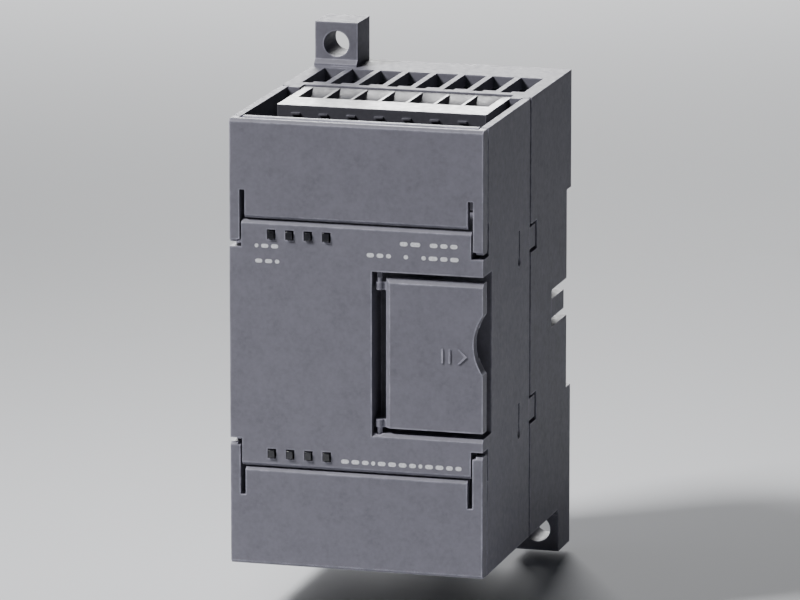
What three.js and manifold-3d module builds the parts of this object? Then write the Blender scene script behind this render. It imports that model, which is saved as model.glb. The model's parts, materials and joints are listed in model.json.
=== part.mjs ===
// Expansion module of a small programmable controller, for a 35 mm rail or two M4 screws.
// Millimetres. +X is right, -Y is the front and +Z is up.
// The origin is the middle of the rail seat, the flat floor of the recess in the back.
import * as THREE from 'three';
import { mergeVertices } from 'three/addons/utils/BufferGeometryUtils.js';
import Module from 'manifold-3d';

const wasm = await Module();
wasm.setup();

// ---- Driving dimensions ----

const WIDTH = 46;
const HEIGHT = 80;
const DEPTH = 62;
const SEAT_DEPTH = 3; // rail seat below the back plane
const RAIL_GAP = 36.7; // height of the recess that takes a 35 mm rail
const TAB = 8; // screw tab, square and as deep
const TAB_HOLE = 4.8; // diameter, for an M4 screw
const TAB_FOOT = 0.8; // size of the sloped step at the root of a tab
const POLES = 7;
const PITCH = 5.08; // terminal pitch
const SCREW_PITCH = 0.5; // M3 thread
const SCREW_TURNS = 5; // from open to clamped

const GAP = 0.3; // between neighbouring parts
const WALL = 1.3; // housing side wall
const BASE_WALL = 2.2;
const RIM = 0.9; // of the base, inside the housing
const PANEL = 2; // label panel
const SHELF = 1; // floor of a wiring space
const BOARD = 1.6; // circuit board
const BOARD_EDGE = 37.4; // half height of the terminal board

// ---- Planes that the parts share ----

const HALF_W = WIDTH / 2;
const HALF_H = HEIGHT / 2;
const BACK = SEAT_DEPTH;
const FRONT = BACK - DEPTH;
const SPLIT = FRONT + 32.4; // joint between housing and base
const INNER = HALF_W - WALL;
const BASE_INNER = HALF_W - BASE_WALL;
const BASE_ROOF = HALF_H - BASE_WALL;
const OVER = 1; // how far a cutting tool passes a face
const TOUCH = 0.01; // overlap of two cutting tools that meet

const DOOR_EDGE = 22.4; // edge of a terminal door nearest the middle
const DOOR_SHEET = 1.5;
const DOOR_SKIRT = 3.1;
const DOOR_CHAMFER = 0.5;
const PANEL_EDGE = DOOR_EDGE - GAP;
const PANEL_CHAMFER = 0.6;
const HINGE = { y: FRONT + 1.7, z: DOOR_EDGE - 2.9, pin: 0.8, bore: 1.0, room: 2.3, long: 1.4 };
const LEG = { inner: HALF_W - 1.85, below: 1.5, chamfer: 0.5, slotWidth: 0.9, slotTop: 5 };
const CHEEK = 1.6; // thickness of a door bearing

const TERMINAL_BOARD_FRONT = FRONT + 29.6;
const MAIN_BOARD_FRONT = -12;
const BLOCK = { half: 19.1, front: FRONT + 16.5, top: HALF_H - 0.3, bottom: PANEL_EDGE + 0.4, bar: 7.5 };
const FLANGE_BACK = SPLIT + 2.1; // rear edge of a block's flange, in a notch of the base
const BLOCK_BACK = TERMINAL_BOARD_FRONT - GAP;
const SCREW = { z: 33, head: 1.9, headFront: BLOCK.front + 0.3, headLong: 1.4, shank: 1.4 };
const CAGE = { half: 1.95, wall: 0.4, front: FRONT + 22.5, cheek: 1.2, back: 0.8, long: 5.9, tall: 5.8 };
const CAGE_TRAVEL = SCREW_PITCH * SCREW_TURNS;

const LED = { xs: [-15.4, -12.05, -8.7, -5.35], z: 19.7, width: 1.15, tall: 1.35, proud: 0.4, room: 0.2 };
const BUS = { left: 2.9, z: -0.4, half: 14.5, floor: FRONT + 6, doorLeft: 5.3, doorHalf: 13.4 };
const BUS_PIVOT = { x: 4.1, y: FRONT + 1.1, pin: 0.5, bore: 0.75 };
const HEADER = { x: 13.5, z: BUS.z, wide: 8.9, tall: 20.3, front: FRONT + 7.5, long: 8.7, wall: 1.2 };
const HEADER_BACK = HEADER.front + HEADER.long;
const BUS_BOARD_FRONT = HEADER_BACK + GAP;
const VENT = { count: 8, pitch: 5.25, width: 4.15, near: FRONT + 36.5, far: FRONT + 51.5 };
const VENT_LEDGE = { back: VENT.near + 1.3, share: 0.52 };
const CLIP = { web: 6, flange: 8, flangeThick: 1.2, backY: BACK - 0.3, top: -17.9, nose: 2, tail: 4 };
const SNAP_Z = [14.5, -16.8];
const SNAP = { half: 2, long: 4.3, slot: FRONT + 24.5, slotWidth: 1, slotHalf: 3 };
const RIBBON = 19; // opening for a 10-way ribbon cable
const SEAM = { deep: 0.5, long: 0.8 }; // rebate of the base beside the joint

// ---- Geometry helpers ----

const ordered = (a, b) => [Math.min(a, b), Math.max(a, b)];

// A box between two corners.
function box(x0, x1, y0, y1, z0, z1) {
  const geometry = new THREE.BoxGeometry(x1 - x0, y1 - y0, z1 - z0);
  return geometry.translate((x0 + x1) / 2, (y0 + y1) / 2, (z0 + z1) / 2);
}

// A cylinder along Y.
function rodY(radius, x, z, y0, y1, sides = 16) {
  const geometry = new THREE.CylinderGeometry(radius, radius, y1 - y0, sides);
  return geometry.translate(x, (y0 + y1) / 2, z);
}

// A cylinder along X.
function rodX(radius, y, z, x0, x1, sides = 16) {
  const geometry = new THREE.CylinderGeometry(radius, radius, x1 - x0, sides);
  return geometry.rotateZ(Math.PI / 2).translate((x0 + x1) / 2, y, z);
}

// A cylinder along Z.
function rodZ(radius, x, y, z0, z1, sides = 16) {
  const geometry = new THREE.CylinderGeometry(radius, radius, z1 - z0, sides);
  return geometry.rotateX(Math.PI / 2).translate(x, y, (z0 + z1) / 2);
}

// An outline of [y, z] points, extruded along X.
function prismX(outline, x0, x1) {
  const shape = new THREE.Shape(outline.map(([y, z]) => new THREE.Vector2(y, z)));
  const geometry = new THREE.ExtrudeGeometry(shape, { depth: x1 - x0, bevelEnabled: false });
  const basis = new THREE.Matrix4().makeBasis(
    new THREE.Vector3(0, 1, 0), new THREE.Vector3(0, 0, 1), new THREE.Vector3(1, 0, 0));
  return geometry.applyMatrix4(basis).translate(x0, 0, 0);
}

// An outline of [x, y] points, extruded along Z.
function prismZ(outline, z0, z1) {
  const shape = new THREE.Shape(outline.map(([x, y]) => new THREE.Vector2(x, y)));
  const geometry = new THREE.ExtrudeGeometry(shape, { depth: z1 - z0, bevelEnabled: false });
  return geometry.translate(0, 0, z0);
}

// A four-sided funnel, wide at z1 and narrow at z0, between two rectangles [x half, y0, y1].
function funnel(x, wide, narrow, z0, z1) {
  const geometry = new THREE.CylinderGeometry(Math.SQRT2, Math.SQRT2, 1, 4);
  geometry.rotateY(Math.PI / 4).rotateX(Math.PI / 2);
  const position = geometry.getAttribute('position');
  for (let i = 0; i < position.count; i += 1) {
    const end = position.getZ(i) > 0 ? wide : narrow;
    const middle = (end[1] + end[2]) / 2;
    position.setX(i, x + position.getX(i) * end[0]);
    position.setY(i, middle + position.getY(i) * (end[2] - end[1]) / 2);
    position.setZ(i, position.getZ(i) > 0 ? z1 : z0);
  }
  return geometry;
}

// A closed geometry as a solid that can be joined and cut.
function solid(geometry) {
  const bare = geometry.index ? geometry.clone() : geometry;
  bare.deleteAttribute('normal');
  bare.deleteAttribute('uv');
  const merged = mergeVertices(bare, 1e-5);
  return new wasm.Manifold(new wasm.Mesh({
    numProp: 3,
    vertProperties: new Float32Array(merged.getAttribute('position').array),
    triVerts: new Uint32Array(merged.index.array),
  }));
}

function join(body, pieces) {
  return pieces.reduce((whole, piece) => whole.add(solid(piece)), body);
}

function cut(body, tools) {
  return tools.reduce((whole, tool) => whole.subtract(solid(tool)), body);
}

// A solid as a three.js geometry.
function geometryOf(body) {
  const result = body.getMesh();
  const geometry = new THREE.BufferGeometry();
  const position = new Float32Array(result.numVert * 3);
  for (let i = 0; i < result.numVert; i += 1) {
    for (let axis = 0; axis < 3; axis += 1) {
      position[i * 3 + axis] = result.vertProperties[i * result.numProp + axis];
    }
  }
  geometry.setAttribute('position', new THREE.BufferAttribute(position, 3));
  geometry.setIndex(new THREE.BufferAttribute(new Uint32Array(result.triVerts), 1));
  return geometry;
}

// ---- Materials ----

const plastic = (color, roughness) => new THREE.MeshStandardMaterial({ color, roughness });
const metal = (color, roughness) => new THREE.MeshStandardMaterial({ color, roughness, metalness: 1 });

const MATERIAL = {
  housing: plastic(0x706f7a, 0.6),
  base: plastic(0x66656f, 0.62),
  door: plastic(0x74737e, 0.58),
  block: plastic(0x4a4a52, 0.55),
  clip: plastic(0x3a3a40, 0.5),
  lens: plastic(0x1d1f24, 0.25),
  board: plastic(0x1f5a3a, 0.5),
  connector: plastic(0x18181b, 0.5),
  chip: plastic(0x141416, 0.45),
  converter: plastic(0x1b1b1f, 0.4),
  capacitor: metal(0xb9bcc2, 0.35),
  screw: metal(0xc4c6ca, 0.35),
  cage: metal(0xc2a35a, 0.4),
  pin: metal(0xd8b25a, 0.3),
};

const root = new THREE.Group();

function place(name, geometry, material, parent = root) {
  const mesh = new THREE.Mesh(geometry, material);
  mesh.name = name;
  parent.add(mesh);
  return mesh;
}

// Both terminal rows are the same; the lower one is the upper one turned half round about Y.
const upperRow = new THREE.Group();
const lowerRow = new THREE.Group();
lowerRow.rotation.y = Math.PI;
root.add(upperRow, lowerRow);
const ROWS = [['upper', upperRow], ['lower', lowerRow]];

const poleX = (index) => (index - (POLES - 1) / 2) * PITCH;

// ---- Front housing ----

// Room for a door's legs and its hinge, at both sides of one row; up is 1 or -1.
function hingeRoom(up) {
  const [low, high] = ordered((HINGE.z - HINGE.room) * up, (PANEL_EDGE + OVER) * up);
  const notch = HALF_W - LEG.inner + GAP;
  return [-1, 1].flatMap((side) => {
    const edges = ordered(side * (HALF_W - notch), side * (HALF_W + OVER));
    const bore = ordered(side * (LEG.inner - HINGE.long - GAP), side * HALF_W);
    return [
      box(...edges, FRONT - OVER, HINGE.y + HINGE.room, low, high),
      rodX(HINGE.bore, HINGE.y, HINGE.z * up, ...bore),
    ];
  });
}

// Bearing cheeks that hold a door's two pins.
function hingeCheeks(up) {
  const [low, high] = ordered((HINGE.z - HINGE.room) * up, PANEL_EDGE * up);
  return [-1, 1].map((side) => {
    const edges = ordered(side * (LEG.inner - GAP - CHEEK), side * (LEG.inner - GAP));
    return box(...edges, FRONT, HINGE.y + HINGE.room + 0.4, low, high);
  });
}

// A tool that takes the corner off an edge of the front face between x0 and x1. The material
// lies below the edge where up is 1 and above it where up is -1.
function frontChamfer(edge, size, up, x0, x1) {
  return prismX([
    [FRONT - OVER, edge + OVER * up],
    [FRONT - OVER, edge - size * up],
    [FRONT, edge - size * up],
    [FRONT + size, edge],
    [FRONT + size, edge + OVER * up],
  ], x0, x1);
}

function frontHousing() {
  const shelfUnder = PANEL_EDGE - SHELF;
  let body = solid(box(-HALF_W, HALF_W, FRONT, SPLIT - GAP, -HALF_H, HALF_H));
  body = cut(body, [
    box(-INNER, INNER, FRONT + PANEL, BLOCK_BACK + GAP, -shelfUnder, shelfUnder),
    box(-INNER, INNER, TERMINAL_BOARD_FRONT - GAP, SPLIT, -HALF_H - OVER, HALF_H + OVER),
  ]);
  for (const up of [-1, 1]) {
    const [low, high] = ordered(PANEL_EDGE * up, (HALF_H + OVER) * up);
    body = cut(body, [
      box(-INNER, INNER, FRONT - OVER, SPLIT, low, high),
      box(-HALF_W - OVER, HALF_W + OVER, FRONT - OVER, FRONT + DOOR_SKIRT + 0.4, low, high),
    ]);
    body = join(body, hingeCheeks(up));
    body = cut(body, [
      frontChamfer(PANEL_EDGE * up, PANEL_CHAMFER, up, -HALF_W, HALF_W),
      ...hingeRoom(up),
    ]);
    const [halfX, halfZ] = [LED.width / 2 + LED.room, LED.tall / 2 + LED.room];
    const z = LED.z * up;
    body = cut(body, LED.xs.map((x) =>
      box(x - halfX, x + halfX, FRONT - OVER, FRONT + PANEL + OVER, z - halfZ, z + halfZ)));
  }

  // Bus port: a pocket open at the front and right, with an opening in its floor for the header.
  const [low, high] = [BUS.z - BUS.half, BUS.z + BUS.half];
  const pocketWall = 1.4;
  const well = [HEADER.wide / 2 + GAP + 0.2, HEADER.tall / 2 + GAP + 0.2];
  const posts = [-11, 11].map((dz) =>
    rodY(1.6, BUS.left + 1.5, BUS.z + dz, BUS.floor + 1, BUS_BOARD_FRONT - GAP, 10));
  body = join(body, [
    box(BUS.left - pocketWall, INNER + 0.2, FRONT + 1, BUS.floor + pocketWall,
      low - pocketWall, high + pocketWall),
    ...posts,
  ]);
  body = cut(body, [
    box(BUS.left, HALF_W + OVER, FRONT - OVER, BUS.floor, low, high),
    frontChamfer(low, PANEL_CHAMFER, 1, BUS.left, HALF_W + OVER),
    box(HEADER.x - well[0], HEADER.x + well[0], BUS.floor - OVER, BUS.floor + pocketWall + OVER,
      HEADER.z - well[1], HEADER.z + well[1]),
    rodZ(BUS_PIVOT.bore, BUS_PIVOT.x, BUS_PIVOT.y, low - 1.2, high + 1.2, 12),
  ]);

  // Exit for the module's own ribbon cable, in the left wall near the front.
  body = cut(body, [box(-HALF_W - OVER, -INNER + OVER, FRONT + 6, FRONT + 11, -RIBBON / 2, RIBBON / 2)]);

  // Snap arms at the rear edge, with a relief slot in front of each.
  for (const side of [-1, 1]) {
    const arm = ordered(side * (HALF_W - 1.2), side * (HALF_W - 0.2));
    const slot = ordered(side * (INNER - OVER), side * (HALF_W + OVER));
    for (const z of SNAP_Z) {
      body = join(body, [box(...arm, SPLIT - OVER, SPLIT + SNAP.long, z - SNAP.half, z + SNAP.half)]);
      body = cut(body, [
        box(...slot, SNAP.slot, SNAP.slot + SNAP.slotWidth, z - SNAP.slotHalf, z + SNAP.slotHalf),
        rodX(0.9, SNAP.slot + SNAP.slotWidth / 2, z - SNAP.slotHalf + 0.4, ...slot, 10),
      ]);
    }
  }
  return body;
}

// ---- Rear base ----

// Slots through the top or bottom, each with a ledge in one of its front corners.
function ventTools(up) {
  const outside = (HALF_H + OVER) * up;
  const deep = ordered((BASE_ROOF - OVER) * up, outside);
  const tools = [];
  for (let i = 0; i < VENT.count; i += 1) {
    const left = (i - (VENT.count - 1) / 2) * VENT.pitch - VENT.width / 2;
    const right = left + VENT.width;
    const ledge = right - VENT.width * VENT_LEDGE.share;
    tools.push(box(left, right, VENT_LEDGE.back, VENT.far, ...deep));
    tools.push(box(left, ledge, VENT.near, VENT_LEDGE.back + TOUCH, ...deep));
  }
  return tools;
}

// The root of a screw tab whose left edge is at x: a step with a sloped top.
function tabFoot(x, up) {
  const front = BACK - TAB;
  return prismX([
    [front - TAB_FOOT, (HALF_H - OVER) * up],
    [front - TAB_FOOT, (HALF_H + TAB_FOOT / 2) * up],
    [front, (HALF_H + TAB_FOOT * 1.5) * up],
    [front + OVER, (HALF_H + TAB_FOOT * 1.5) * up],
    [front + OVER, (HALF_H - OVER) * up],
  ], x, x + TAB);
}

function rearBase() {
  const seatWall = 3;
  const rim = INNER - GAP;
  const recess = RAIL_GAP / 2;
  const coreEdge = recess + 2;
  const backSheet = 2;
  let body = solid(box(-HALF_W, HALF_W, SPLIT, BACK, -HALF_H, HALF_H));
  body = join(body, [
    box(-rim, rim, SPLIT - RIM, SPLIT + OVER, -HALF_H, HALF_H),
    box(-HALF_W, -HALF_W + TAB, BACK - TAB, BACK, HALF_H - OVER, HALF_H + TAB),
    tabFoot(-HALF_W, 1),
    box(HALF_W - TAB, HALF_W, BACK - TAB, BACK, -HALF_H - TAB, -HALF_H + OVER),
    tabFoot(HALF_W - TAB, -1),
  ]);
  body = cut(body, [
    box(-BASE_INNER, BASE_INNER, SPLIT - 2, -seatWall, -BASE_ROOF, BASE_ROOF),
    box(-BASE_INNER, BASE_INNER, -seatWall - OVER, BACK - backSheet, coreEdge, BASE_ROOF),
    box(-BASE_INNER, -CLIP.flange - 2.5, -seatWall - OVER, BACK - backSheet, -BASE_ROOF, -coreEdge),
    box(CLIP.flange + 2.5, BASE_INNER, -seatWall - OVER, BACK - backSheet, -BASE_ROOF, -coreEdge),
    box(-HALF_W - OVER, HALF_W + OVER, 0, BACK + OVER, -recess, recess),
    rodY(TAB_HOLE / 2, -HALF_W + TAB / 2, HALF_H + TAB / 2, BACK - TAB - OVER, BACK + OVER, 24),
    rodY(TAB_HOLE / 2, HALF_W - TAB / 2, -HALF_H - TAB / 2, BACK - TAB - OVER, BACK + OVER, 24),
    ...ventTools(1),
    ...ventTools(-1),
  ]);

  // T-shaped channel for the rail clip, open at the bottom and into the recess.
  const flangeRoom = CLIP.flangeThick + GAP;
  body = cut(body, [
    box(-CLIP.flange - GAP, CLIP.flange + GAP, -GAP, flangeRoom, -HALF_H - OVER, -recess + OVER),
    box(-CLIP.web - GAP, CLIP.web + GAP, flangeRoom - TOUCH, BACK + OVER, -HALF_H - OVER, -recess + OVER),
  ]);

  // Two fixed lugs that go behind the rail's upper edge.
  const lugLow = recess - 2.2;
  body = join(body, [-12, 12].map((x) => box(x - 4, x + 4, 1.3, BACK, lugLow, recess + OVER)));

  // Notches over the rows of wire entries.
  for (const up of [-1, 1]) {
    const wall = ordered((BASE_ROOF - OVER) * up, (HALF_H + OVER) * up);
    body = cut(body, [
      box(-BLOCK.half - GAP, BLOCK.half + GAP, SPLIT - RIM - OVER, FLANGE_BACK + GAP, ...wall),
    ]);
  }

  // A tongue in a notch in the middle of each side wall, open at the back, and the seam's rebate.
  for (const side of [-1, 1]) {
    const notch = ordered(side * (BASE_INNER - 0.5), side * (HALF_W + OVER));
    const tongue = ordered(side * (BASE_INNER + 0.1), side * (HALF_W - 0.4));
    body = cut(body, [box(...notch, -11, BACK + OVER, -4.8, 2)]);
    body = join(body, [box(...tongue, -12, -0.5, -3.5, 0)]);
    const rebate = ordered(side * (HALF_W - SEAM.deep), side * (HALF_W + OVER));
    body = cut(body, [box(...rebate, SPLIT - OVER, SPLIT + SEAM.long, -HALF_H - OVER, HALF_H + OVER)]);
    const pocket = ordered(side * (HALF_W - 1.5), side * (HALF_W + OVER));
    const room = SNAP.half + 2 * GAP;
    body = cut(body, SNAP_Z.map((z) =>
      box(...pocket, SPLIT - OVER, SPLIT + SNAP.long + 0.7, z - room, z + room)));
  }

  // Posts that carry the main board.
  const postTop = MAIN_BOARD_FRONT + BOARD + GAP;
  for (const x of [-17, 17]) {
    body = join(body, [-15, 15].map((z) => rodY(1.8, x, z, postTop, -seatWall + OVER, 10)));
  }
  return body;
}

// ---- Doors ----

// Terminal door, modelled for the upper row.
function terminalDoor() {
  const legLow = HINGE.z - LEG.below;
  const legChamfer = LEG.chamfer;
  const skirtBack = FRONT + DOOR_SKIRT;
  const legOutline = [
    [FRONT, legLow + legChamfer],
    [FRONT + legChamfer, legLow],
    [skirtBack - legChamfer, legLow],
    [skirtBack, legLow + legChamfer],
    [skirtBack, HALF_H],
    [FRONT, HALF_H],
  ];
  let body = solid(box(-HALF_W, HALF_W, FRONT, FRONT + DOOR_SHEET, DOOR_EDGE, HALF_H));
  body = join(body, [
    prismX(legOutline, -HALF_W, -INNER),
    prismX(legOutline, INNER, HALF_W),
    box(-HALF_W, -LEG.inner, FRONT, skirtBack, legLow + legChamfer, DOOR_EDGE + LEG.slotTop),
    box(LEG.inner, HALF_W, FRONT, skirtBack, legLow + legChamfer, DOOR_EDGE + LEG.slotTop),
    box(-INNER + GAP, INNER - GAP, FRONT, FRONT + 4, HALF_H - 1.4, HALF_H),
    rodX(HINGE.pin, HINGE.y, HINGE.z, -LEG.inner - 0.2, -LEG.inner + HINGE.long, 12),
    rodX(HINGE.pin, HINGE.y, HINGE.z, LEG.inner - HINGE.long, LEG.inner + 0.2, 12),
  ]);
  const slotInner = LEG.inner - LEG.slotWidth;
  const slots = [[-LEG.inner, -slotInner], [slotInner, LEG.inner]].map(([x0, x1]) =>
    box(x0, x1, FRONT - OVER, FRONT + DOOR_SHEET + OVER, DOOR_EDGE - OVER, DOOR_EDGE + LEG.slotTop));
  return cut(body, [
    ...slots,
    frontChamfer(HALF_H, DOOR_CHAMFER, 1, -HALF_W - OVER, HALF_W + OVER),
    frontChamfer(DOOR_EDGE, DOOR_CHAMFER, -1, -slotInner, slotInner),
    box(-INNER, INNER, FRONT + 1.3, FRONT + 2.7, HALF_H - 0.25, HALF_H + OVER),
  ]);
}

// Bus connector door, hinged on two small pins at its left edge.
function busDoor() {
  const sheet = 2;
  const chamfer = 0.8;
  const [low, high] = [BUS.z - BUS.doorHalf, BUS.z + BUS.doorHalf];
  const notchRadius = 9.26;
  const notchApex = HALF_W - 1.7;
  const arm = 1.4;
  const panel = prismZ([
    [BUS.doorLeft, FRONT + sheet],
    [BUS.doorLeft, FRONT + chamfer],
    [BUS.doorLeft + chamfer, FRONT],
    [HALF_W, FRONT],
    [HALF_W, FRONT + 2.6],
    [HALF_W - WALL, FRONT + 2.6],
    [HALF_W - WALL, FRONT + sheet],
  ], low, high);
  const armAt = (z0, z1) => box(BUS_PIVOT.x, BUS.doorLeft + 0.5, FRONT + 0.9, FRONT + sheet, z0, z1);
  const body = join(solid(panel), [
    armAt(low, low + arm),
    armAt(high - arm - chamfer, high - chamfer),
    rodZ(0.8, BUS_PIVOT.x, BUS_PIVOT.y + 0.1, low, low + arm, 12),
    rodZ(0.8, BUS_PIVOT.x, BUS_PIVOT.y + 0.1, high - arm - chamfer, high - chamfer, 12),
    rodZ(BUS_PIVOT.pin, BUS_PIVOT.x, BUS_PIVOT.y, low - 1.9, low + OVER, 12),
    rodZ(BUS_PIVOT.pin, BUS_PIVOT.x, BUS_PIVOT.y, high - 1.5, high + 1.9, 12),
  ]);
  return cut(body, [
    frontChamfer(high, chamfer, 1, 0, HALF_W + OVER),
    rodY(notchRadius, notchApex + notchRadius, BUS.z + 2.35, FRONT - OVER, FRONT + 4, 48),
  ]);
}

// ---- Rail clip ----

function railClip() {
  const noseTop = CLIP.top + CLIP.nose;
  const tailLow = -HALF_H - CLIP.tail;
  const body = join(solid(box(-CLIP.flange, CLIP.flange, 0, CLIP.flangeThick, -HALF_H + 0.5, CLIP.top)), [
    prismX([
      [CLIP.flangeThick + 0.1, noseTop],
      [CLIP.flangeThick + 0.1, CLIP.top - 0.6],
      [CLIP.flangeThick - 0.2, CLIP.top - 0.6],
      [CLIP.flangeThick - 0.2, tailLow],
      [CLIP.backY, tailLow],
      [CLIP.backY, noseTop - 1.2],
    ], -CLIP.web, CLIP.web),
    box(-CLIP.web, CLIP.web, 0, CLIP.flangeThick, tailLow, -HALF_H + OVER),
  ]);
  return cut(body, [box(-2.5, 2.5, -OVER, BACK + OVER, tailLow + 1.2, tailLow + 2.7)]);
}

// ---- Terminals, modelled for the upper row ----

const CAGE_BOTTOM = SCREW.z - CAGE.tall / 2;
const CAGE_TOP = SCREW.z + CAGE.tall / 2;
const CONTACT_FRONT = CAGE.front + CAGE.cheek + 0.4;
const CONTACT = 0.8; // thickness of a fixed contact bar

function terminalBlock() {
  const chamberHalf = CAGE.half + GAP;
  const chamberFront = CAGE.front - CAGE_TRAVEL - 0.4;
  const chamberBack = CAGE.front + CAGE.long + 0.4;
  const chamberFloor = CAGE_BOTTOM - 0.4;
  const chamberTop = CAGE_TOP + 0.4;
  const seat = SCREW.headFront + SCREW.headLong + 0.2;
  const barBack = BLOCK.front + BLOCK.bar;
  const dishFloor = BOARD_EDGE + 0.8;
  const mouth = [2.3, barBack, FLANGE_BACK - 0.4];
  const dish = [1.6, barBack + 0.4, BLOCK_BACK];
  const throat = [1.5, CONTACT_FRONT + CONTACT + 0.1, CAGE.front + CAGE.long - CAGE.back];
  let body = solid(box(-BLOCK.half, BLOCK.half, BLOCK.front, BLOCK_BACK, BLOCK.bottom, BLOCK.top));
  body = join(body, [
    box(-BLOCK.half, BLOCK.half, BLOCK_BACK - OVER, FLANGE_BACK, BASE_ROOF + TOUCH, BLOCK.top),
  ]);
  for (let pole = 0; pole < POLES; pole += 1) {
    const x = poleX(pole);
    body = cut(body, [
      rodY(SCREW.head + GAP, x, SCREW.z, BLOCK.front - OVER, seat, 16),
      rodY(SCREW.shank + GAP, x, SCREW.z, seat - OVER, chamberFront + OVER, 12),
      box(x - chamberHalf, x + chamberHalf, chamberFront, chamberBack, chamberFloor, chamberTop),
      funnel(x, mouth, dish, dishFloor, BLOCK.top + TOUCH),
      funnel(x, dish, throat, chamberTop - 0.2, dishFloor + TOUCH),
    ]);
    body = join(body, [
      box(x - 1.1, x + 1.1, CONTACT_FRONT, CONTACT_FRONT + CONTACT, chamberFloor - OVER, CAGE_TOP - 1),
      box(x - 1.2, x + 0.4, BLOCK.front - 0.6, BLOCK.front + 0.5, BLOCK.top - 1.6, BLOCK.top - 1.3),
    ]);
  }
  return body;
}

function terminalScrew() {
  const headBack = SCREW.headFront + SCREW.headLong;
  const body = join(solid(rodY(SCREW.head, 0, 0, SCREW.headFront, headBack, 20)), [
    rodY(SCREW.shank, 0, 0, headBack - 0.1, CONTACT_FRONT - GAP, 12),
  ]);
  return cut(body, [box(-3, 3, SCREW.headFront - OVER, SCREW.headFront + 0.7, -0.28, 0.28)]);
}

function clampCage() {
  const { half, wall, front, cheek, back, long, tall } = CAGE;
  return cut(solid(box(-half, half, front, front + long, -tall / 2, tall / 2)), [
    box(-half + wall, half - wall, front + cheek, front + long - back, -tall / 2 - OVER, tall / 2 + OVER),
    rodY(SCREW.shank + 0.15, 0, 0, front - OVER, front + cheek + 0.1, 12),
  ]);
}

// ---- Light guides ----

// Four light pipes on a cross bar; up is 1 or -1.
function lightGuide(up) {
  const z = LED.z * up;
  const [first, last] = [LED.xs[0], LED.xs[LED.xs.length - 1]];
  const bar = ordered((LED.z - 2.4) * up, (LED.z - 0.4) * up);
  const [halfX, halfZ] = [LED.width / 2, LED.tall / 2];
  const back = TERMINAL_BOARD_FRONT - 1.2;
  const pipes = LED.xs.map((x) => box(x - halfX, x + halfX, FRONT - LED.proud, back, z - halfZ, z + halfZ));
  return join(solid(box(first - halfX - 0.6, last + halfX + 0.6, FRONT + 4, FRONT + 6, ...bar)), pipes);
}

// ---- Inside ----

function busHeader() {
  const { x, z, wide, tall, front, wall } = HEADER;
  const [halfX, halfZ] = [wide / 2, tall / 2];
  const floor = HEADER_BACK - 2.2;
  const keyHalf = 2.2;
  const hole = PIN_HALF + GAP;
  const shroud = solid(box(x - halfX, x + halfX, front, HEADER_BACK, z - halfZ, z + halfZ));
  return cut(shroud, [
    box(x - halfX + wall, x + halfX - wall, front - OVER, floor, z - halfZ + wall, z + halfZ - wall),
    box(x - halfX - OVER, x - halfX + wall + 0.1, front - OVER, floor - 1.5, z - keyHalf, z + keyHalf),
    ...PIN_SPOTS.map(([px, pz]) =>
      box(px - hole, px + hole, floor - OVER, HEADER_BACK + OVER, pz - hole, pz + hole)),
  ]);
}

const PIN_HALF = 0.32;
const PIN_PITCH = 2.54;
const PIN_SPOTS = [-0.5, 0.5].flatMap((column) =>
  [-2, -1, 0, 1, 2].map((row) => [HEADER.x + column * PIN_PITCH, HEADER.z + row * PIN_PITCH]));

function electrolytic(radius, long) {
  const bead = radius * 0.92;
  const profile = [[0, 0], [radius, 0], [radius, 1.2], [bead, 1.6], [radius, 2], [radius, long - 0.4],
    [radius - 0.4, long], [0, long]];
  return new THREE.LatheGeometry(profile.map(([r, y]) => new THREE.Vector2(r, y)), 20);
}

function addElectronics() {
  const mainBack = MAIN_BOARD_FRONT + BOARD;
  const onMain = MAIN_BOARD_FRONT - GAP;
  const terminalBack = TERMINAL_BOARD_FRONT + BOARD;
  const boardEdge = BASE_INNER - GAP;
  place('terminal_board',
    box(-boardEdge, boardEdge, TERMINAL_BOARD_FRONT, terminalBack, -BOARD_EDGE, BOARD_EDGE), MATERIAL.board);
  place('main_board', box(-boardEdge, boardEdge, MAIN_BOARD_FRONT, mainBack, -35, 35), MATERIAL.board);
  place('bus_board', box(1, 21.2, BUS_BOARD_FRONT, BUS_BOARD_FRONT + BOARD, -13.4, 12.6), MATERIAL.board);
  place('bus_link_connector', geometryOf(join(
    solid(box(11, 16, BUS_BOARD_FRONT + BOARD + GAP, -33, -8, 8)),
    [box(12, 15, -33.5, TERMINAL_BOARD_FRONT - GAP, -7, 7)])), MATERIAL.connector);
  place('board_link_connector', geometryOf(join(
    solid(box(13.5, 18.5, -20, onMain, -12.7, 12.7)),
    [box(14.5, 17.5, terminalBack + GAP, -19.5, -11.5, 11.5)])), MATERIAL.connector);
  place('dc_converter', box(-18, 2, onMain - 9, onMain, 4, 14.5), MATERIAL.converter);
  [20, 29].forEach((z, index) => {
    const can = place(`capacitor_${index + 1}`, geometryOf(solid(electrolytic(4, 11))), MATERIAL.capacitor);
    can.rotation.x = Math.PI;
    can.position.set(-8, onMain, z);
  });
  const chipBack = TERMINAL_BOARD_FRONT - GAP;
  place('dac_chip', box(-16, -8.5, chipBack - 2.3, chipBack, -7.8, 7.8), MATERIAL.chip);
  [-11, 11].forEach((z, index) => {
    place(`amplifier_${index + 1}`, box(-5, -1, chipBack - 1.6, chipBack, z - 2.5, z + 2.5), MATERIAL.chip);
  });
}

// ---- Assembly ----

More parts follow.
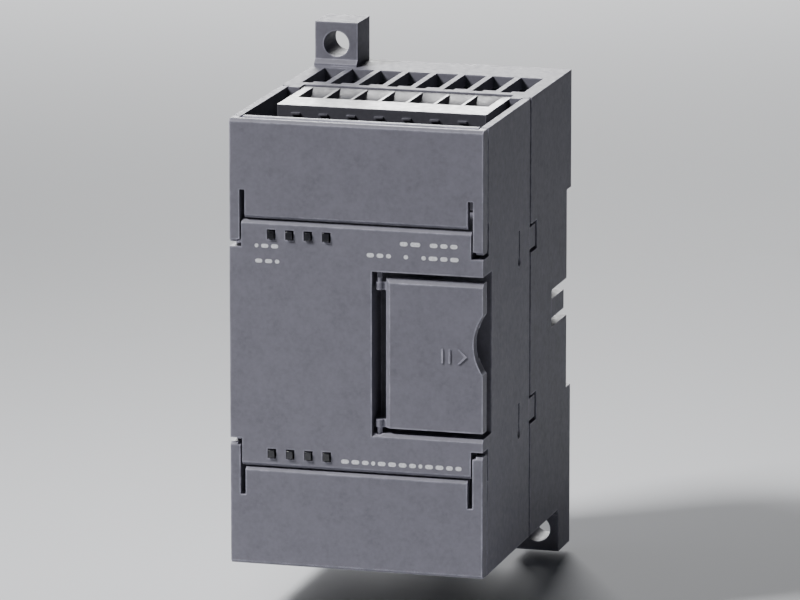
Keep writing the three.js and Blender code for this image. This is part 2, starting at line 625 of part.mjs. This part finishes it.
place('rear_base', geometryOf(rearBase()), MATERIAL.base);
place('front_housing', geometryOf(frontHousing()), MATERIAL.housing);
place('bus_connector_door', geometryOf(busDoor()), MATERIAL.door);
place('din_rail_clip', geometryOf(railClip()), MATERIAL.clip);
place('upper_light_guide', geometryOf(lightGuide(1)), MATERIAL.lens);
place('lower_light_guide', geometryOf(lightGuide(-1)), MATERIAL.lens);
place('bus_header', geometryOf(busHeader()), MATERIAL.connector);
PIN_SPOTS.forEach(([x, z], index) => {
  const pin = box(
    x - PIN_HALF, x + PIN_HALF, HEADER.front + 1.5, HEADER_BACK, z - PIN_HALF, z + PIN_HALF);
  place(`bus_pin_${index + 1}`, pin, MATERIAL.pin);
});
addElectronics();

const screwGeometry = geometryOf(terminalScrew());
const cageGeometry = geometryOf(clampCage());
for (const [row, group] of ROWS) {
  place(`${row}_terminal_door`, geometryOf(terminalDoor()), MATERIAL.door, group);
  place(`${row}_terminal_block`, geometryOf(terminalBlock()), MATERIAL.block, group);
  for (let pole = 0; pole < POLES; pole += 1) {
    const screw = place(`${row}_terminal_screw_${pole + 1}`, screwGeometry, MATERIAL.screw, group);
    screw.position.set(poleX(pole), 0, SCREW.z);
    screw.rotation.y = pole * 0.7;
    const cage = place(`${row}_clamp_cage_${pole + 1}`, cageGeometry, MATERIAL.cage, group);
    cage.position.set(poleX(pole), 0, SCREW.z);
  }
}

export default root;
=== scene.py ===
"""Looks of the controller expansion module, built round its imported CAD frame."""

import json
import math

import bmesh
import bpy
from mathutils import Matrix, Vector


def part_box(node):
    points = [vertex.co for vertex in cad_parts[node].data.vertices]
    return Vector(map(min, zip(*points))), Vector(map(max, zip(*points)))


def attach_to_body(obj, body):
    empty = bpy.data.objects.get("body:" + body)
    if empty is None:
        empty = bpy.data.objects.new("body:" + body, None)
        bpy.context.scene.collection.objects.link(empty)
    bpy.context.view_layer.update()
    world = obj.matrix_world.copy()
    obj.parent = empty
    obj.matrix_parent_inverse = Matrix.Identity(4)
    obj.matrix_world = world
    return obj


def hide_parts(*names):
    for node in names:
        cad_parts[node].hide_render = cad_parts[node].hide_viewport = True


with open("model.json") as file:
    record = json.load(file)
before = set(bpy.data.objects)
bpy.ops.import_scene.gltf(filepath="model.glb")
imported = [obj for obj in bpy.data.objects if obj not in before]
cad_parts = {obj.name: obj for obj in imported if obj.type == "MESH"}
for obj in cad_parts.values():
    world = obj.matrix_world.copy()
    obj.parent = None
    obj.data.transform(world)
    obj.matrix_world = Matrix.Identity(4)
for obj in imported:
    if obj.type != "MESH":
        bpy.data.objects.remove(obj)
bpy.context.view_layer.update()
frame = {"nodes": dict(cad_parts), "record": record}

MM = 0.001
NODES = frame["nodes"]

# ---- Camera ----

AZIMUTH = math.radians(15.55)
ELEVATION = math.radians(12.33)
DISTANCE = 1.306
LENS = 328.4
AIM_RIGHT = -0.59 * MM
AIM_UP = 2.33 * MM


def add_camera():
    low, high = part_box("rear_base")
    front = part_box("front_housing")[0]
    centre = Vector(((low.x + high.x) / 2, (front.y + high.y) / 2, (low.z + high.z) / 2))
    back = Vector((
        math.sin(AZIMUTH) * math.cos(ELEVATION),
        -math.cos(AZIMUTH) * math.cos(ELEVATION),
        math.sin(ELEVATION),
    ))
    right = (-back).cross(Vector((0, 0, 1))).normalized()
    up = right.cross(-back)
    camera = bpy.data.objects.new("camera", bpy.data.cameras.new("camera"))
    camera.data.lens = LENS
    camera.data.sensor_width = 36
    camera.data.clip_start = 0.05
    camera.location = centre + back * DISTANCE
    aim = centre + right * AIM_RIGHT + up * AIM_UP
    camera.rotation_mode = "QUATERNION"
    camera.rotation_quaternion = (aim - camera.location).to_track_quat("-Z", "Y")
    bpy.context.scene.collection.objects.link(camera)
    bpy.context.scene.camera = camera


add_camera()

# ---- Materials ----


class Shader:
    """A Principled material under construction, with short calls for the nodes it uses."""

    def __init__(self, name):
        self.material = bpy.data.materials.new(name)
        self.material.use_nodes = True
        self.tree = self.material.node_tree
        self.surface = self.tree.nodes["Principled BSDF"]
        self.place = self.node("ShaderNodeTexCoord").outputs["Object"]

    def node(self, kind, **values):
        made = self.tree.nodes.new(kind)
        for key, value in values.items():
            setattr(made, key, value)
        return made

    def link(self, source, target):
        self.tree.links.new(source, target)

    def noise(self, scale, detail=3.0, roughness=0.55):
        made = self.node("ShaderNodeTexNoise")
        made.inputs["Scale"].default_value = scale
        made.inputs["Detail"].default_value = detail
        made.inputs["Roughness"].default_value = roughness
        self.link(self.place, made.inputs["Vector"])
        return made.outputs["Fac"]

    def spread(self, value, from_low, from_high, low, high):
        made = self.node("ShaderNodeMapRange")
        limits = {"From Min": from_low, "From Max": from_high, "To Min": low, "To Max": high}
        for name, number in limits.items():
            made.inputs[name].default_value = number
        self.link(value, made.inputs["Value"])
        return made.outputs["Result"]

    def blend(self, factor, first, second):
        """A colour between first and second, each a colour or a socket."""
        made = self.node("ShaderNodeMix", data_type="RGBA")
        self.link(factor, made.inputs["Factor"])
        for name, value in (("A", first), ("B", second)):
            socket = next(s for s in made.inputs if s.name == name and s.type == "RGBA")
            if isinstance(value, bpy.types.NodeSocket):
                self.link(value, socket)
            else:
                socket.default_value = (*value, 1.0)
        return next(s for s in made.outputs if s.type == "RGBA")

    def edges(self, radius, low=0.75, high=0.985):
        """1 on sharp edges and 0 on flat ground."""
        bevel = self.node("ShaderNodeBevel", samples=4)
        bevel.inputs["Radius"].default_value = radius
        geometry = self.node("ShaderNodeNewGeometry")
        dot = self.node("ShaderNodeVectorMath", operation="DOT_PRODUCT")
        self.link(bevel.outputs["Normal"], dot.inputs[0])
        self.link(geometry.outputs["True Normal"], dot.inputs[1])
        return self.spread(dot.outputs["Value"], low, high, 1.0, 0.0)

    def bump(self, height, strength, distance, under=None):
        made = self.node("ShaderNodeBump")
        made.inputs["Strength"].default_value = strength
        made.inputs["Distance"].default_value = distance
        self.link(height, made.inputs["Height"])
        if under is not None:
            self.link(under, made.inputs["Normal"])
        return made.outputs["Normal"]

    def set(self, name, value):
        socket = self.surface.inputs[name]
        if isinstance(value, bpy.types.NodeSocket):
            self.link(value, socket)
        elif hasattr(value, "__len__"):
            socket.default_value = (*value, 1.0)
        else:
            socket.default_value = value


def shade(colour, factor):
    return tuple(min(1.0, c * factor) for c in colour)


def moulded(name, colour, roughness, grain=0.35, wear_and_highlight=0.65):
    """Spark-textured plastic: fine grain, faint flow mottling, sharp edges painted lighter, partly
    rubbed wear and partly a painted highlight.
    """
    s = Shader(name)
    mottling = s.spread(s.noise(330, 5, 0.7), 0.35, 0.65, 0.0, 1.0)
    ground = s.blend(mottling, shade(colour, 0.9), shade(colour, 1.09))
    speckle = s.spread(s.noise(1500, 3), 0.35, 0.7, 0.0, 1.0)
    ground = s.blend(s.spread(speckle, 0.0, 1.0, 0.0, 0.6), ground, shade(colour, 1.22))
    rubbed_and_highlit = s.edges(0.5 * MM, low=0.9, high=0.995)
    edge_breakup = s.spread(s.noise(420, 4), 0.42, 0.62, 0.3, 1.0)
    mask = s.node("ShaderNodeMath", operation="MULTIPLY")
    s.link(rubbed_and_highlit, mask.inputs[0])
    s.link(edge_breakup, mask.inputs[1])
    amount = s.spread(mask.outputs["Value"], 0.0, 1.0, 0.0, wear_and_highlight)
    # painted highlight, partly rubbed wear: broken-up sharp edges are blended towards 3.2 times the
    # plastic's colour
    s.set("Base Color", s.blend(amount, ground, shade(colour, 3.2)))
    s.set("Roughness", s.spread(s.noise(900, 3), 0.3, 0.7, roughness - 0.07, roughness + 0.07))
    fine = s.bump(s.noise(5200, 2), grain, 0.03 * MM)
    s.set("Normal", s.bump(s.noise(220, 2), 0.12, 0.05 * MM, under=fine))
    s.set("Specular IOR Level", 0.3)
    return s.material


def smooth_plastic(name, colour, roughness):
    """Plastic with a moulding skin: low waves and a few fine scuffs."""
    s = Shader(name)
    tint = s.spread(s.noise(260, 3), 0.35, 0.65, 0.0, 1.0)
    ground = s.blend(tint, shade(colour, 0.85), shade(colour, 1.15))
    # sharp edges painted lighter, up to 2.4 times the colour: partly rubbed wear, partly a painted
    # highlight
    rubbed_and_highlit = s.spread(s.edges(0.2 * MM), 0.0, 1.0, 0.0, 0.3)
    s.set("Base Color", s.blend(rubbed_and_highlit, ground, shade(colour, 2.4)))
    scuffs = s.noise(1300, 4, 0.7)
    s.set("Roughness", s.spread(scuffs, 0.35, 0.65, roughness - 0.08, roughness + 0.1))
    s.set("Normal", s.bump(s.noise(1800, 3), 0.16, 0.02 * MM))
    return s.material


def lens_acrylic(name, colour):
    """Smoked acrylic light pipe with a polished face."""
    s = Shader(name)
    cloud = s.spread(s.noise(900, 2), 0.35, 0.65, 0.0, 1.0)
    s.set("Base Color", s.blend(cloud, shade(colour, 0.7), shade(colour, 1.5)))
    s.set("Roughness", s.spread(s.noise(2400, 3), 0.35, 0.65, 0.1, 0.24))
    s.set("Normal", s.bump(s.noise(3000, 2), 0.08, 0.01 * MM))
    s.set("Coat Weight", 0.6)
    s.set("Coat Roughness", 0.08)
    s.set("IOR", 1.49)
    return s.material


def plated(name, colour, roughness, grain=5200, tarnish=0.35):
    """Plated or stamped metal: fine directional scratches and dull patches."""
    s = Shader(name)
    stretch = s.node("ShaderNodeMapping")
    stretch.inputs["Scale"].default_value = (1.0, 1.0, 0.08)
    s.link(s.place, stretch.inputs["Vector"])
    s.place = stretch.outputs["Vector"]
    patch = s.spread(s.noise(520, 4, 0.65), 0.38, 0.66, 0.0, tarnish)
    s.set("Base Color", s.blend(patch, colour, shade(colour, 0.5)))
    s.set("Metallic", 1.0)
    s.set("Roughness", s.spread(s.noise(grain, 3), 0.3, 0.7, roughness - 0.1, roughness + 0.14))
    s.set("Normal", s.bump(s.noise(grain, 2), 0.2, 0.008 * MM))
    return s.material


def solder_mask(name, colour):
    """Printed circuit board: bundles of copper tracks show as a lighter relief under the mask."""
    s = Shader(name)
    cells = s.node("ShaderNodeTexVoronoi", feature="F1", distance="CHEBYCHEV")
    cells.inputs["Scale"].default_value = 120
    s.link(s.place, cells.inputs["Vector"])
    bundle = s.node("ShaderNodeMath", operation="MULTIPLY")
    bundle.inputs[1].default_value = 11
    s.link(cells.outputs["Distance"], bundle.inputs[0])
    across = s.node("ShaderNodeMath", operation="FRACT")
    s.link(bundle.outputs["Value"], across.inputs[0])
    tracks = s.spread(across.outputs["Value"], 0.52, 0.64, 0.0, 1.0)
    weave = s.spread(s.noise(2600, 2), 0.35, 0.65, 0.0, 1.0)
    ground = s.blend(weave, shade(colour, 0.85), shade(colour, 1.1))
    s.set("Base Color", s.blend(tracks, ground, shade(colour, 1.7)))
    s.set("Roughness", s.spread(s.noise(1500, 3), 0.3, 0.7, 0.28, 0.42))
    s.set("Normal", s.bump(tracks, 0.3, 0.02 * MM))
    s.set("Coat Weight", 0.25)
    s.set("Coat Roughness", 0.2)
    return s.material


def ink(name, colour):
    """Pad-printed ink, thin enough to break up over the grain."""
    s = Shader(name)
    cover = s.spread(s.noise(4200, 3), 0.3, 0.62, 0.0, 1.0)
    s.set("Base Color", s.blend(cover, shade(colour, 0.62), colour))
    s.set("Roughness", s.spread(s.noise(1800, 2), 0.3, 0.7, 0.42, 0.6))
    s.set("Normal", s.bump(s.noise(5200, 2), 0.25, 0.02 * MM))
    return s.material


ANTHRACITE = (0.160, 0.157, 0.190)
MATERIAL = {
    "housing_plastic": moulded("housing_plastic", ANTHRACITE, 0.56),
    # the doors get the strongest lightened edges: a painted highlight on their chamfers, partly
    # also rubbed wear
    "door_plastic": moulded("door_plastic", shade(ANTHRACITE, 0.98), 0.52, grain=0.3, wear_and_highlight=1.0),
    "base_plastic": moulded("base_plastic", shade(ANTHRACITE, 0.92), 0.58),
    "clip_plastic": moulded("clip_plastic", (0.040, 0.040, 0.046), 0.48, grain=0.22),
    # painted shade: the terminal blocks get a far darker colour than the housing plastic, standing
    # for the shade they sit in behind the doors
    "terminal_plastic": moulded("terminal_plastic", (0.060, 0.059, 0.070), 0.36, grain=0.25),
    "connector_plastic": smooth_plastic("connector_plastic", (0.018, 0.018, 0.020), 0.42),
    "chip_epoxy": smooth_plastic("chip_epoxy", (0.014, 0.014, 0.015), 0.55),
    "light_guide": lens_acrylic("light_guide", (0.012, 0.012, 0.016)),
    "circuit_board": solder_mask("circuit_board", (0.012, 0.075, 0.035)),
    "capacitor_can": plated("capacitor_can", (0.55, 0.56, 0.58), 0.34, tarnish=0.2),
    "zinc_screw": plated("zinc_screw", (0.60, 0.61, 0.62), 0.32),
    "clamp_metal": plated("clamp_metal", (0.55, 0.43, 0.20), 0.38),
    "contact_metal": plated("contact_metal", (0.72, 0.52, 0.19), 0.3),
}
PRINT = ink("print_white", (0.86, 0.86, 0.90))

# ---- CAD nodes: finish and softened edges ----

EDGE = {
    "front_housing": 0.16,
    "rear_base": 0.18,
    "upper_terminal_door": 0.2,
    "lower_terminal_door": 0.2,
    "bus_connector_door": 0.16,
    "din_rail_clip": 0.16,
}
SMALL_EDGE = 0.08
FLAT_ANGLE = math.radians(0.6)  # faces closer than this become one
SHARP_ANGLE = math.radians(35)  # edges sharper than this are rounded


def even_out(piece):
    """Keeps the shading of large flat faces flat."""
    even = piece.modifiers.new("even", "WEIGHTED_NORMAL")
    even.mode = "FACE_AREA"
    even.weight = 100
    even.keep_sharp = True


def soften(node, width):
    """Rounds the sharp edges of a CAD node with modifiers; its own mesh keeps its shape."""
    for face in node.data.polygons:
        face.use_smooth = True
    weld = node.modifiers.new("weld", "WELD")
    weld.merge_threshold = 0.001 * MM
    flat = node.modifiers.new("flat", "DECIMATE")
    flat.decimate_type = "DISSOLVE"
    flat.angle_limit = FLAT_ANGLE
    bevel = node.modifiers.new("bevel", "BEVEL")
    bevel.width = width
    bevel.segments = 2
    bevel.limit_method = "ANGLE"
    bevel.angle_limit = SHARP_ANGLE
    bevel.use_clamp_overlap = True
    even_out(node)


slots = {s["node"]: s["material_slot"] for s in frame["record"]["subparts"]}
for name, node in NODES.items():
    node.data.materials.clear()
    node.data.materials.append(MATERIAL[slots[name]])
    soften(node, EDGE.get(name, SMALL_EDGE) * MM)

# ---- Pieces made here ----

ROW_SIDE = {"upper": 1, "lower": -1}
POLES = 7


def attach(name, mesh, body):
    piece = bpy.data.objects.new(name, mesh)
    bpy.context.scene.collection.objects.link(piece)
    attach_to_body(piece, body)
    return piece


def collect(name, shape, slot, body, material=None):
    """Makes a piece of a bmesh in millimetres, in the frame's own place, riding on one body."""
    for vertex in shape.verts:
        vertex.co *= MM
    mesh = bpy.data.meshes.new(name)
    bmesh.ops.recalc_face_normals(shape, faces=shape.faces)
    shape.to_mesh(mesh)
    shape.free()
    mesh.materials.append(material or MATERIAL[slot])
    return attach(name, mesh, body)


def rounded(piece, width, segments=2):
    bevel = piece.modifiers.new("bevel", "BEVEL")
    bevel.width = width
    bevel.segments = segments
    bevel.limit_method = "ANGLE"
    bevel.angle_limit = math.radians(30)
    even_out(piece)


def add_box(shape, low, high):
    """A box between two corners, added to a bmesh."""
    made = bmesh.ops.create_cube(shape, size=1.0)["verts"]
    low, high = Vector(low), Vector(high)
    middle, size = (low + high) / 2, high - low
    for vertex in made:
        vertex.co = Vector(vertex.co[i] * size[i] + middle[i] for i in range(3))
    return made


def add_outline(shape, points, low, high, along_z=False):
    """An outline of (x, z) points extruded along Y, or of (x, y) points along Z."""
    def corner(u, v, w):
        return shape.verts.new((u, v, w) if along_z else (u, w, v))

    front = [corner(u, v, low) for u, v in points]
    back = [corner(u, v, high) for u, v in points]
    shape.faces.new(front)
    shape.faces.new(list(reversed(back)))
    for i in range(len(points)):
        j = (i + 1) % len(points)
        shape.faces.new((front[j], front[i], back[i], back[j]))


def pill(x0, x1, z0, z1, steps=5):
    """Outline of a bar with round ends."""
    radius = min(x1 - x0, z1 - z0) / 2
    corners = (
        (x1 - radius, z1 - radius, 0.0),
        (x0 + radius, z1 - radius, 0.5),
        (x0 + radius, z0 + radius, 1.0),
        (x1 - radius, z0 + radius, 1.5),
    )
    return [
        (
            cx + radius * math.cos(math.pi * (start + 0.5 * k / steps)),
            cz + radius * math.sin(math.pi * (start + 0.5 * k / steps)),
        )
        for cx, cz, start in corners
        for k in range(steps + 1)
    ]


# ---- Terminal screws ----

SCREW = {
    "head": 1.9,
    "long": 1.4,
    "fillet": 0.28,
    "crown": 0.03,
    "flat": 1.0,
    "foot": 0.12,
    "slot": 0.56,
    "deep": 0.7,
    "cross": 1.15,
    "cross_deep": 0.95,
    "thread": 1.4,
    "root": 1.16,
    "pitch": 0.5,
}
HEAD_SIDES = 40
FILLET_STEPS = 5
THREAD_SIDES = 24
THREAD_ROWS = 10  # in one turn
THREAD_LEAD = 0.5  # length of the taper at the tip
TIP_SHARE = 0.55  # radius left at the tip
SCREW_TURN = 0.7  # radians from one screw to the next, so that their slots differ


def skin(shape, rings):
    """Walls between rings of vertices, and a face over each end."""
    around = len(rings[0])
    for lower, upper in zip(rings, rings[1:]):
        for k in range(around):
            j = (k + 1) % around
            shape.faces.new((lower[k], lower[j], upper[j], upper[k]))
    shape.faces.new(rings[0])
    shape.faces.new(list(reversed(rings[-1])))


def thread_shape(shape, start, end):
    """A helical thread along +Y between two depths, closed at both ends."""
    rows = int((end - start) / SCREW["pitch"] * THREAD_ROWS)
    rings = []
    for row in range(rows + 1):
        y = start + (end - start) * row / rows
        taper = min(1.0, (end - y) / THREAD_LEAD + TIP_SHARE)
        ring = []
        for k in range(THREAD_SIDES):
            angle = 2 * math.pi * k / THREAD_SIDES
            phase = (y / SCREW["pitch"] + k / THREAD_SIDES) % 1.0
            crest = 1.0 - abs(2.0 * phase - 1.0)
            crest = min(1.0, max(0.0, 1.6 * crest - 0.3))  # flats on the crest and the root
            radius = (SCREW["root"] + (SCREW["thread"] - SCREW["root"]) * crest) * taper
            ring.append(shape.verts.new((radius * math.cos(angle), y, radius * math.sin(angle))))
        rings.append(ring)
    skin(shape, rings)


def head_profile():
    """Radius and depth down a pan head, from the flat of its top."""
    head, long, fillet = SCREW["head"], SCREW["long"], SCREW["fillet"]
    crown, foot = SCREW["crown"], SCREW["foot"]
    points = [(SCREW["flat"], 0.0), (head - fillet, crown)]
    for k in range(1, FILLET_STEPS + 1):
        angle = math.pi / 2 * k / FILLET_STEPS
        points.append((
            head - fillet + fillet * math.sin(angle),
            crown + fillet - fillet * math.cos(angle),
        ))
    return points + [(head, long - foot), (head - foot, long)]


def head_shape(shape):
    angles = [2 * math.pi * k / HEAD_SIDES for k in range(HEAD_SIDES)]
    skin(shape, [
        [shape.verts.new((radius * math.cos(a), depth, radius * math.sin(a))) for a in angles]
        for radius, depth in head_profile()
    ])


def carved(name, shape, cutters):
    """A mesh of a bmesh with other bmeshes cut from it."""
    def as_object(part, made):
        mesh = bpy.data.meshes.new(part)
        bmesh.ops.recalc_face_normals(made, faces=made.faces)
        made.to_mesh(mesh)
        made.free()
        holder = bpy.data.objects.new(part, mesh)
        bpy.context.scene.collection.objects.link(holder)
        return holder

    body = as_object(name, shape)
    tools = [as_object(f"{name}_tool_{i}", cutter) for i, cutter in enumerate(cutters)]
    for tool in tools:
        cut = body.modifiers.new("cut", "BOOLEAN")
        cut.operation = "DIFFERENCE"
        cut.solver = "EXACT"
        cut.object = tool
    graph = bpy.context.evaluated_depsgraph_get()
    mesh = bpy.data.meshes.new_from_object(body.evaluated_get(graph))
    for holder in (body, *tools):
        bpy.data.objects.remove(holder)
    return mesh


def screw_mesh(front, back):
    """A slotted and crossed pan-head screw, its axis along Y, its head's top at front."""
    head = bmesh.new()
    head_shape(head)
    slot, cross = bmesh.new(), bmesh.new()
    half, past = SCREW["slot"] / 2, SCREW["head"] + 1.1
    add_box(slot, (-past, -1, -half), (past, SCREW["deep"], half))
    add_box(cross, (-half, -1, -SCREW["cross"]), (half, SCREW["cross_deep"], SCREW["cross"]))
    mesh = carved("screw_head", head, [slot, cross])
    whole = bmesh.new()
    whole.from_mesh(mesh)
    thread_shape(whole, SCREW["long"] - 0.05, (back - front))
    for vertex in whole.verts:
        vertex.co = Vector((vertex.co.x, vertex.co.y + front, vertex.co.z)) * MM
    result = bpy.data.meshes.new("terminal_screw")
    bmesh.ops.recalc_face_normals(whole, faces=whole.faces)
    whole.to_mesh(result)
    whole.free()
    for face in result.polygons:
        face.use_smooth = True
    result.set_sharp_from_angle(angle=math.radians(38))
    result.materials.append(MATERIAL["zinc_screw"])
    return result


def add_screws():
    low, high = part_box("upper_terminal_screw_1")
    mesh = screw_mesh(low.y / MM, high.y / MM)
    for row in ("upper", "lower"):
        for pole in range(1, POLES + 1):
            node = f"{row}_terminal_screw_{pole}"
            low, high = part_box(node)
            screw = attach(f"{row}_screw_detail_{pole}", mesh, f"{row}_screw_{pole}")
            even_out(screw)
            turn = Matrix.Rotation(pole * SCREW_TURN, 4, "Y")
            middle = (low + high) / 2
            screw.matrix_world = Matrix.Translation((middle.x, 0, middle.z)) @ turn
            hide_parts(node)


add_screws()

# ---- Clamp contacts ----


# Depths are from the cage's front, heights from its middle. The ridges stay clear of the cage's
# back wall at full travel.
CONTACT = {"front": 1.54, "back": 2.44, "half": 1.16, "bottom": -3.2, "top": 1.96}
RIDGE = {"front": 2.4, "back": 2.51, "half": 0.9, "tall": 0.4, "bottoms": (-1.6, -0.4, 0.8)}


def add_contacts():
    """A stamped brass plate with three ridges over the fixed bar of each terminal."""
    for row in ("upper", "lower"):
        for pole in range(1, POLES + 1):
            low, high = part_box(f"{row}_clamp_cage_{pole}")
            x, z = (low.x + high.x) / 2 / MM, (low.z + high.z) / 2 / MM
            cage = low.y / MM
            left, right = x - CONTACT["half"], x + CONTACT["half"]
            bottom, top = z + CONTACT["bottom"], z + CONTACT["top"]
            points = [(left, bottom), (right, bottom), (right, top), (left, top)]
            shape = bmesh.new()
            add_outline(shape, points, cage + CONTACT["front"], cage + CONTACT["back"])
            for start in RIDGE["bottoms"]:
                add_box(
                    shape,
                    (x - RIDGE["half"], cage + RIDGE["front"], z + start),
                    (x + RIDGE["half"], cage + RIDGE["back"], z + start + RIDGE["tall"]),
                )
            plate = collect(f"{row}_contact_{pole}", shape, "clamp_metal", "module")
            rounded(plate, 0.05 * MM)


add_contacts()

# ---- Doors ----


DOOR_SHEET = 1.5
RIB = {"thick": 0.8, "root": 0.15, "proud": 1.1, "from": 24.2, "to": 38.7}
RIB_XS = (-14.2, -4.7, 4.7, 14.2)
CROSS_RIB = {"half": 19.4, "proud": 0.7, "from": 24.0, "to": 24.8}


def add_door_ribs():
    """Stiffening ribs inside each terminal door."""
    for row, up in ROW_SIDE.items():
        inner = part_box(f"{row}_terminal_door")[0].y / MM + DOOR_SHEET
        root = inner - RIB["root"]
        shape = bmesh.new()
        near, far = sorted((RIB["from"] * up, RIB["to"] * up))
        half = RIB["thick"] / 2
        for x in RIB_XS:
            add_box(shape, (x - half, root, near), (x + half, inner + RIB["proud"], far))
        near, far = sorted((CROSS_RIB["from"] * up, CROSS_RIB["to"] * up))
        half = CROSS_RIB["half"]
        add_box(shape, (-half, root, near), (half, inner + CROSS_RIB["proud"], far))
        ribs = collect(f"{row}_door_ribs", shape, "door_plastic", f"{row}_door")
        rounded(ribs, 0.15 * MM)


add_door_ribs()

# ---- Chip leads ----

LEAD = {"wide": 0.36, "thick": 0.2, "reach": 1.15, "pitch": 1.27, "board": 0.28}
LEAD_COUNT = {"dac_chip": 12, "amplifier_1": 4, "amplifier_2": 4}  # on each side


def add_leads(chip, count):
    """Gull-wing leads down both sides of a chip that faces the front."""
    low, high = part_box(chip)
    board = high.y / MM + LEAD["board"]
    middle_z = (low.z + high.z) / 2 / MM
    knee = (low.y / MM + board) / 2
    thick, reach = LEAD["thick"], LEAD["reach"]
    shape = bmesh.new()
    for out, edge in ((-1, low.x / MM), (1, high.x / MM)):
        points = [
            (edge - 0.1 * out, knee),
            (edge + 0.35 * out, knee),
            (edge + 0.6 * out, board - thick),
            (edge + reach * out, board - thick),
            (edge + reach * out, board),
            (edge + 0.45 * out, board),
            (edge + 0.2 * out, knee + thick),
            (edge - 0.1 * out, knee + thick),
        ]
        for k in range(count):
            z = middle_z + (k - (count - 1) / 2) * LEAD["pitch"]
            add_outline(shape, points, z - LEAD["wide"] / 2, z + LEAD["wide"] / 2, along_z=True)
    leads = collect(f"{chip}_leads", shape, "contact_metal", "module")
    rounded(leads, 0.03 * MM)


for chip, count in LEAD_COUNT.items():
    add_leads(chip, count)

# ---- Rail clip ----


GRIP = {"count": 4, "from": 5.6, "pitch": 1.5, "tall": 0.7, "half": 5.2, "root": 0.1, "proud": 0.25}


def add_clip_grip():
    """Finger ridges on the back of the rail clip's tail."""
    low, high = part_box("din_rail_clip")
    back = high.y / MM
    shape = bmesh.new()
    for k in range(GRIP["count"]):
        z = low.z / MM + GRIP["from"] + GRIP["pitch"] * k
        bar = pill(-GRIP["half"], GRIP["half"], z, z + GRIP["tall"])
        add_outline(shape, bar, back - GRIP["root"], back + GRIP["proud"])
    ridges = collect("clip_grip_ridges", shape, "clip_plastic", "rail_clip")
    rounded(ridges, 0.1 * MM)


add_clip_grip()

# ---- Marks ----


# Rows of dashes: height above the middle, thickness, and the ends of each dash.
DASHES = (
    (17.6, 0.7, ((-18.4, -17.7), (-17.2, -15.9), (-15.4, -14.1))),
    (14.9, 0.7, ((-18.3, -17.0), (-16.5, -15.2), (-14.7, -13.9))),
    (19.3, 0.75, ((8.0, 9.4), (9.9, 11.7), (13.4, 14.8), (15.3, 16.6), (17.1, 18.4))),
    (17.0, 0.75, (
        (2.0, 3.3), (3.8, 5.0), (5.5, 6.4), (8.7, 9.5),
        (11.9, 12.7), (13.2, 14.8), (15.3, 16.6), (17.1, 18.6),
    )),
    (-20.3, 0.75, (
        (-2.7, -1.3), (-0.8, 0.6), (1.1, 2.3), (2.8, 3.5), (4.0, 5.4), (5.9, 7.3), (7.8, 9.2),
        (9.7, 10.9), (11.4, 12.1), (12.6, 14.0), (14.5, 15.9), (16.4, 17.6), (18.1, 19.2),
    )),
)
INK = {"proud": 0.035, "root": 0.02}
ARROW = {"bars": (15.7, 17.0), "half": 0.2, "low": -1.5, "high": 1.1, "proud": 0.18, "root": 0.1}
ARROW_HEAD = ((18.5, 1.1), (18.85, 1.1), (20.2, -0.2), (18.85, -1.5), (18.5, -1.5), (19.65, -0.2))


def add_marks():
    """Generic pad-printed dashes beside the lamps: no lettering."""
    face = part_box("front_housing")[0].y / MM
    shape = bmesh.new()
    for z, tall, bars in DASHES:
        for x0, x1 in bars:
            dash = pill(x0, x1, z - tall / 2, z + tall / 2)
            add_outline(shape, dash, face - INK["proud"], face + INK["root"])
    collect("printed_dashes", shape, "housing_plastic", "module", material=PRINT)


def add_arrow():
    """Two raised bars and an arrowhead that point to the bus door's free edge."""
    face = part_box("bus_connector_door")[0].y / MM
    front, back = face - ARROW["proud"], face + ARROW["root"]
    shape = bmesh.new()
    for x in ARROW["bars"]:
        bar = pill(x - ARROW["half"], x + ARROW["half"], ARROW["low"], ARROW["high"])
        add_outline(shape, bar, front, back)
    add_outline(shape, ARROW_HEAD, front, back)
    mark = collect("bus_door_arrow", shape, "door_plastic", "bus_door")
    rounded(mark, 0.06 * MM)


add_marks()
add_arrow()

# ---- Studio ----


CLIP_TRAVEL = 5 * MM
FLOOR_GAP = 0.3 * MM
FLOOR_RADIUS = 8.0


def add_stage():
    """A plain pale floor, just clear of the rail clip at its lowest."""
    mesh = bpy.data.meshes.new("floor")
    shape = bmesh.new()
    bmesh.ops.create_circle(shape, cap_ends=True, segments=96, radius=FLOOR_RADIUS)
    shape.to_mesh(mesh)
    shape.free()
    floor = bpy.data.objects.new("floor", mesh)
    floor.location.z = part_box("din_rail_clip")[0].z - CLIP_TRAVEL - FLOOR_GAP
    s = Shader("floor")
    s.set("Base Color", s.blend(s.noise(3), (0.70, 0.71, 0.73), (0.74, 0.75, 0.77)))
    s.set("Roughness", 0.9)
    mesh.materials.append(s.material)
    bpy.context.scene.collection.objects.link(floor)


def add_light(name, place, aim, size, energy, spread=180):
    """A square soft light; spread is the angle of its beam in degrees."""
    lamp = bpy.data.lights.new(name, "AREA")
    lamp.size = size
    lamp.energy = energy
    lamp.spread = math.radians(spread)
    holder = bpy.data.objects.new(name, lamp)
    holder.location = place
    holder.rotation_mode = "QUATERNION"
    holder.rotation_quaternion = (Vector(aim) - Vector(place)).to_track_quat("-Z", "Y")
    bpy.context.scene.collection.objects.link(holder)


def add_studio():
    world = bpy.data.worlds.new("studio")
    world.use_nodes = True
    background = world.node_tree.nodes["Background"]
    background.inputs["Color"].default_value = (0.80, 0.84, 0.92, 1)
    background.inputs["Strength"].default_value = 0.05
    bpy.context.scene.world = world
    add_light("key", (-0.45, -0.36, 0.62), (0, -0.03, 0), 0.2, 0.76, spread=45)
    add_light("back", (-0.34, 1.15, 0.34), (0, -0.03, 0.04), 0.5, 15)


add_stage()
add_studio()
